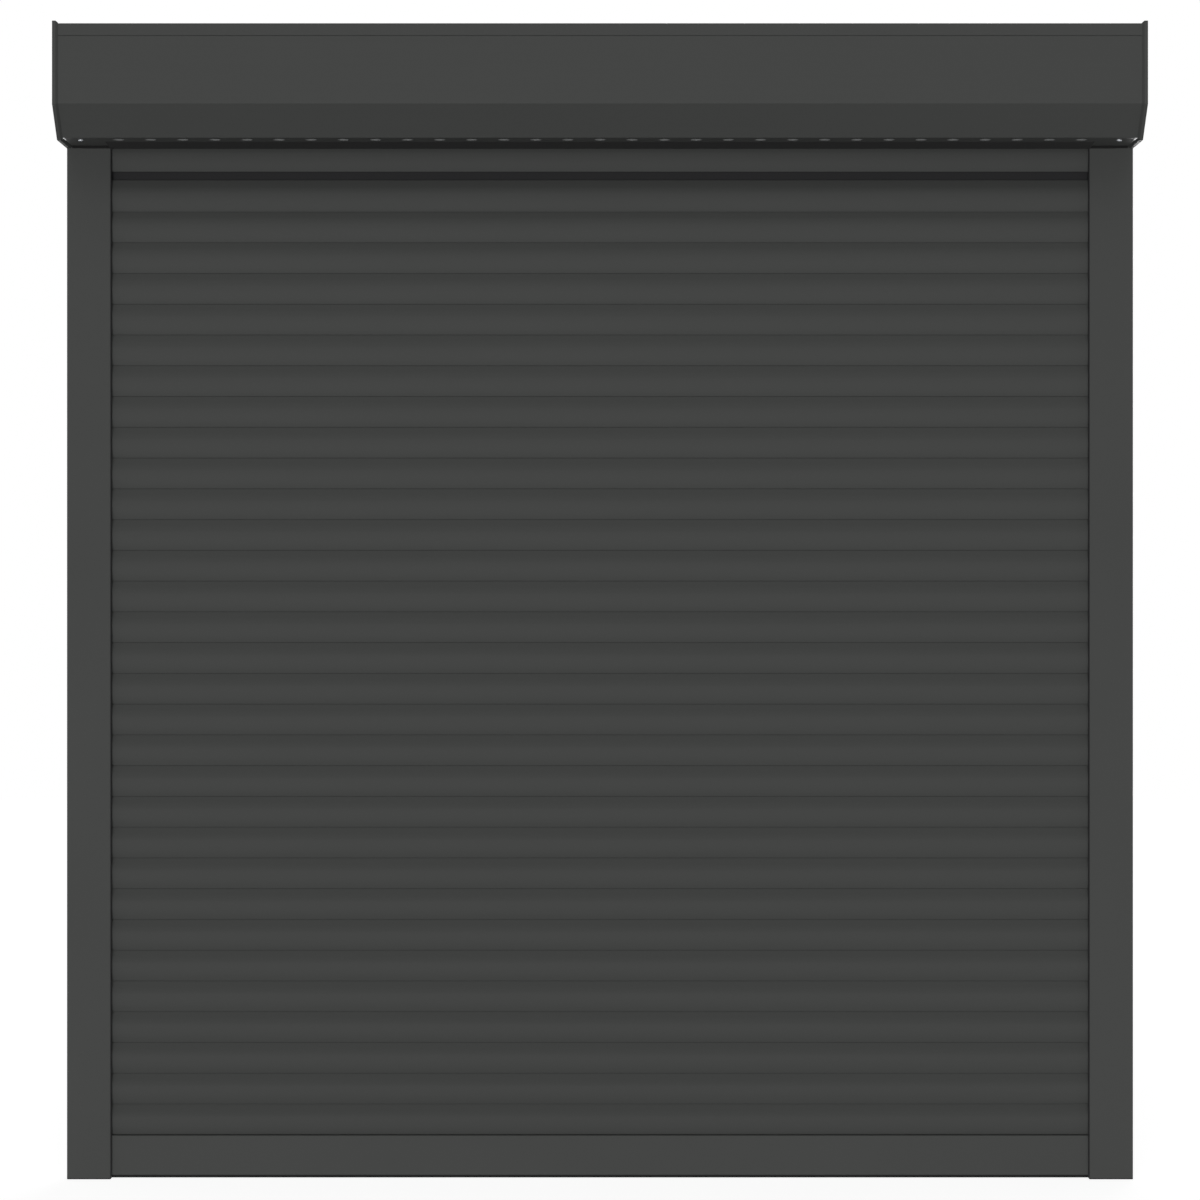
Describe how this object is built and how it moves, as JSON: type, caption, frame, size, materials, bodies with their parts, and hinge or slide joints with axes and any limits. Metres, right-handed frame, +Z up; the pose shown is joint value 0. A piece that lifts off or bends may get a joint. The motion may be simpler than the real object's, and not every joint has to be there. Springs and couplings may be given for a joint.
{
  "type": "exterior roller shutter",
  "caption": "Exterior roller shutter: a curtain of interlocking slats in two guide rails, wound on a motor-driven tube in a box with a bevelled, vented cover.",
  "frame": {"origin": "on the plane under the rails' feet, below the middle of the box's width and depth", "axes": "+X along the slats to the right, +Y towards the wall, +Z up"},
  "size_m": [1.3, 0.137, 1.394],
  "materials": {
    "powder_coat": "satin",
    "brush_seal": "matte",
    "rubber_seal": "matte",
    "black_plastic": "matte",
    "zinc_steel": "satin",
    "bright_steel": "polished",
    "spring_steel": "satin",
    "motor_casing": "satin"
  },
  "bodies": {
    "frame": {"box_top_shell": "powder_coat", "box_front_cover": "powder_coat", "end_cap_left": "powder_coat", "end_cap_right": "powder_coat", "screws": "zinc_steel", "guide_rail_left": "powder_coat", "guide_rail_right": "powder_coat", "rail_seals_left": "brush_seal", "rail_seals_right": "brush_seal", "rail_foot_left": "black_plastic", "rail_foot_right": "black_plastic", "inlet_funnel_left": "black_plastic", "inlet_funnel_right": "black_plastic", "bearing_outer_ring": "bright_steel", "tubular_motor": "motor_casing", "motor_bracket": "zinc_steel"},
    "bottom_bar": {"bottom_bar": "powder_coat", "bottom_seal": "rubber_seal", "bar_glide_left": "black_plastic", "bar_glide_right": "black_plastic"},
    "winding_tube": {"winding_tube": "zinc_steel", "idler_plug": "black_plastic", "idler_pin": "bright_steel", "bearing_inner_ring": "bright_steel", "running_ring": "black_plastic", "motor_shaft": "bright_steel", "drive_wheel": "black_plastic", "hanging_straps": "spring_steel"},
    "top_slat": {"top_slat": "powder_coat"},
    "slat_1": {"slat_1": "powder_coat"},
    "slat_2": {"slat_2": "powder_coat"},
    "slat_3": {"slat_3": "powder_coat"},
    "slat_4": {"slat_4": "powder_coat"},
    "slat_5": {"slat_5": "powder_coat"},
    "slat_6": {"slat_6": "powder_coat"},
    "slat_7": {"slat_7": "powder_coat"},
    "slat_8": {"slat_8": "powder_coat"},
    "slat_9": {"slat_9": "powder_coat"},
    "slat_10": {"slat_10": "powder_coat"},
    "slat_11": {"slat_11": "powder_coat"},
    "slat_12": {"slat_12": "powder_coat"},
    "slat_13": {"slat_13": "powder_coat"},
    "slat_14": {"slat_14": "powder_coat"},
    "slat_15": {"slat_15": "powder_coat"},
    "slat_16": {"slat_16": "powder_coat"},
    "slat_17": {"slat_17": "powder_coat"},
    "slat_18": {"slat_18": "powder_coat"},
    "slat_19": {"slat_19": "powder_coat"},
    "slat_20": {"slat_20": "powder_coat"},
    "slat_21": {"slat_21": "powder_coat"},
    "slat_22": {"slat_22": "powder_coat"},
    "slat_23": {"slat_23": "powder_coat"},
    "slat_24": {"slat_24": "powder_coat"},
    "slat_25": {"slat_25": "powder_coat"},
    "slat_26": {"slat_26": "powder_coat"},
    "slat_27": {"slat_27": "powder_coat"},
    "slat_28": {"slat_28": "powder_coat"},
    "slat_29": {"slat_29": "powder_coat"},
    "slat_30": {"slat_30": "powder_coat"},
    "slat_31": {"slat_31": "powder_coat"}
  },
  "joints": [
    {"name": "curtain_lift", "type": "slide", "parent": "frame", "child": "bottom_bar", "axis": [0, 0, 1], "range_m": [0, 1.2], "deforming": ["slat_1", "slat_2", "slat_3", "slat_4", "slat_5", "slat_6", "slat_7", "slat_8", "slat_9", "slat_10", "slat_11", "slat_12", "slat_13", "slat_14", "slat_15", "slat_16", "slat_17", "slat_18", "slat_19", "slat_20", "slat_21", "slat_22", "slat_23", "slat_24", "slat_25", "slat_26", "slat_27", "slat_28", "slat_29", "slat_30", "slat_31", "top_slat"]},
    {"name": "slat_1_lift", "type": "slide", "parent": "frame", "child": "slat_1", "axis": [0, 0, 1], "range_m": [0, 1.2]},
    {"name": "slat_2_lift", "type": "slide", "parent": "frame", "child": "slat_2", "axis": [0, 0, 1], "range_m": [0, 1.1648]},
    {"name": "slat_3_lift", "type": "slide", "parent": "frame", "child": "slat_3", "axis": [0, 0, 1], "range_m": [0, 1.1296]},
    {"name": "slat_4_lift", "type": "slide", "parent": "frame", "child": "slat_4", "axis": [0, 0, 1], "range_m": [0, 1.0944]},
    {"name": "slat_5_lift", "type": "slide", "parent": "frame", "child": "slat_5", "axis": [0, 0, 1], "range_m": [0, 1.0592]},
    {"name": "slat_6_lift", "type": "slide", "parent": "frame", "child": "slat_6", "axis": [0, 0, 1], "range_m": [0, 1.024]},
    {"name": "slat_7_lift", "type": "slide", "parent": "frame", "child": "slat_7", "axis": [0, 0, 1], "range_m": [0, 0.9888]},
    {"name": "slat_8_lift", "type": "slide", "parent": "frame", "child": "slat_8", "axis": [0, 0, 1], "range_m": [0, 0.9536]},
    {"name": "slat_9_lift", "type": "slide", "parent": "frame", "child": "slat_9", "axis": [0, 0, 1], "range_m": [0, 0.9184]},
    {"name": "slat_10_lift", "type": "slide", "parent": "frame", "child": "slat_10", "axis": [0, 0, 1], "range_m": [0, 0.8832]},
    {"name": "slat_11_lift", "type": "slide", "parent": "frame", "child": "slat_11", "axis": [0, 0, 1], "range_m": [0, 0.848]},
    {"name": "slat_12_lift", "type": "slide", "parent": "frame", "child": "slat_12", "axis": [0, 0, 1], "range_m": [0, 0.8128]},
    {"name": "slat_13_lift", "type": "slide", "parent": "frame", "child": "slat_13", "axis": [0, 0, 1], "range_m": [0, 0.7776]},
    {"name": "slat_14_lift", "type": "slide", "parent": "frame", "child": "slat_14", "axis": [0, 0, 1], "range_m": [0, 0.7424]},
    {"name": "slat_15_lift", "type": "slide", "parent": "frame", "child": "slat_15", "axis": [0, 0, 1], "range_m": [0, 0.7072]},
    {"name": "slat_16_lift", "type": "slide", "parent": "frame", "child": "slat_16", "axis": [0, 0, 1], "range_m": [0, 0.672]},
    {"name": "slat_17_lift", "type": "slide", "parent": "frame", "child": "slat_17", "axis": [0, 0, 1], "range_m": [0, 0.6368]},
    {"name": "slat_18_lift", "type": "slide", "parent": "frame", "child": "slat_18", "axis": [0, 0, 1], "range_m": [0, 0.6016]},
    {"name": "slat_19_lift", "type": "slide", "parent": "frame", "child": "slat_19", "axis": [0, 0, 1], "range_m": [0, 0.5664]},
    {"name": "slat_20_lift", "type": "slide", "parent": "frame", "child": "slat_20", "axis": [0, 0, 1], "range_m": [0, 0.5312]},
    {"name": "slat_21_lift", "type": "slide", "parent": "frame", "child": "slat_21", "axis": [0, 0, 1], "range_m": [0, 0.496]},
    {"name": "slat_22_lift", "type": "slide", "parent": "frame", "child": "slat_22", "axis": [0, 0, 1], "range_m": [0, 0.4608]},
    {"name": "slat_23_lift", "type": "slide", "parent": "frame", "child": "slat_23", "axis": [0, 0, 1], "range_m": [0, 0.4256]},
    {"name": "slat_24_lift", "type": "slide", "parent": "frame", "child": "slat_24", "axis": [0, 0, 1], "range_m": [0, 0.3904]},
    {"name": "slat_25_lift", "type": "slide", "parent": "frame", "child": "slat_25", "axis": [0, 0, 1], "range_m": [0, 0.3552]},
    {"name": "slat_26_lift", "type": "slide", "parent": "frame", "child": "slat_26", "axis": [0, 0, 1], "range_m": [0, 0.32]},
    {"name": "slat_27_lift", "type": "slide", "parent": "frame", "child": "slat_27", "axis": [0, 0, 1], "range_m": [0, 0.2848]},
    {"name": "slat_28_lift", "type": "slide", "parent": "frame", "child": "slat_28", "axis": [0, 0, 1], "range_m": [0, 0.2496]},
    {"name": "slat_29_lift", "type": "slide", "parent": "frame", "child": "slat_29", "axis": [0, 0, 1], "range_m": [0, 0.2144]},
    {"name": "slat_30_lift", "type": "slide", "parent": "frame", "child": "slat_30", "axis": [0, 0, 1], "range_m": [0, 0.1792]},
    {"name": "slat_31_lift", "type": "slide", "parent": "frame", "child": "slat_31", "axis": [0, 0, 1], "range_m": [0, 0.144]},
    {"name": "top_slat_lift", "type": "slide", "parent": "frame", "child": "top_slat", "axis": [0, 0, 1], "range_m": [0, 0.0974]},
    {"name": "tube_turn", "type": "hinge", "parent": "frame", "child": "winding_tube", "pos_m": [0, 0, 1.3255], "axis": [1, 0, 0], "range_deg": [0, 1800], "deforming": ["hanging_straps"]}
  ],
  "couplings": [
    {"joint": "slat_1_lift", "follows": "curtain_lift", "ratio": 1},
    {"joint": "slat_2_lift", "follows": "curtain_lift", "ratio": 0.97067},
    {"joint": "slat_3_lift", "follows": "curtain_lift", "ratio": 0.94133},
    {"joint": "slat_4_lift", "follows": "curtain_lift", "ratio": 0.912},
    {"joint": "slat_5_lift", "follows": "curtain_lift", "ratio": 0.88267},
    {"joint": "slat_6_lift", "follows": "curtain_lift", "ratio": 0.85333},
    {"joint": "slat_7_lift", "follows": "curtain_lift", "ratio": 0.824},
    {"joint": "slat_8_lift", "follows": "curtain_lift", "ratio": 0.79467},
    {"joint": "slat_9_lift", "follows": "curtain_lift", "ratio": 0.76533},
    {"joint": "slat_10_lift", "follows": "curtain_lift", "ratio": 0.736},
    {"joint": "slat_11_lift", "follows": "curtain_lift", "ratio": 0.70667},
    {"joint": "slat_12_lift", "follows": "curtain_lift", "ratio": 0.67733},
    {"joint": "slat_13_lift", "follows": "curtain_lift", "ratio": 0.648},
    {"joint": "slat_14_lift", "follows": "curtain_lift", "ratio": 0.61867},
    {"joint": "slat_15_lift", "follows": "curtain_lift", "ratio": 0.58933},
    {"joint": "slat_16_lift", "follows": "curtain_lift", "ratio": 0.56},
    {"joint": "slat_17_lift", "follows": "curtain_lift", "ratio": 0.53067},
    {"joint": "slat_18_lift", "follows": "curtain_lift", "ratio": 0.50133},
    {"joint": "slat_19_lift", "follows": "curtain_lift", "ratio": 0.472},
    {"joint": "slat_20_lift", "follows": "curtain_lift", "ratio": 0.44267},
    {"joint": "slat_21_lift", "follows": "curtain_lift", "ratio": 0.41333},
    {"joint": "slat_22_lift", "follows": "curtain_lift", "ratio": 0.384},
    {"joint": "slat_23_lift", "follows": "curtain_lift", "ratio": 0.35467},
    {"joint": "slat_24_lift", "follows": "curtain_lift", "ratio": 0.32533},
    {"joint": "slat_25_lift", "follows": "curtain_lift", "ratio": 0.296},
    {"joint": "slat_26_lift", "follows": "curtain_lift", "ratio": 0.26667},
    {"joint": "slat_27_lift", "follows": "curtain_lift", "ratio": 0.23733},
    {"joint": "slat_28_lift", "follows": "curtain_lift", "ratio": 0.208},
    {"joint": "slat_29_lift", "follows": "curtain_lift", "ratio": 0.17867},
    {"joint": "slat_30_lift", "follows": "curtain_lift", "ratio": 0.14933},
    {"joint": "slat_31_lift", "follows": "curtain_lift", "ratio": 0.12},
    {"joint": "top_slat_lift", "follows": "curtain_lift", "ratio": 0.081167},
    {"joint": "tube_turn", "follows": "curtain_lift", "rad_per_m": 26.18}
  ]
}
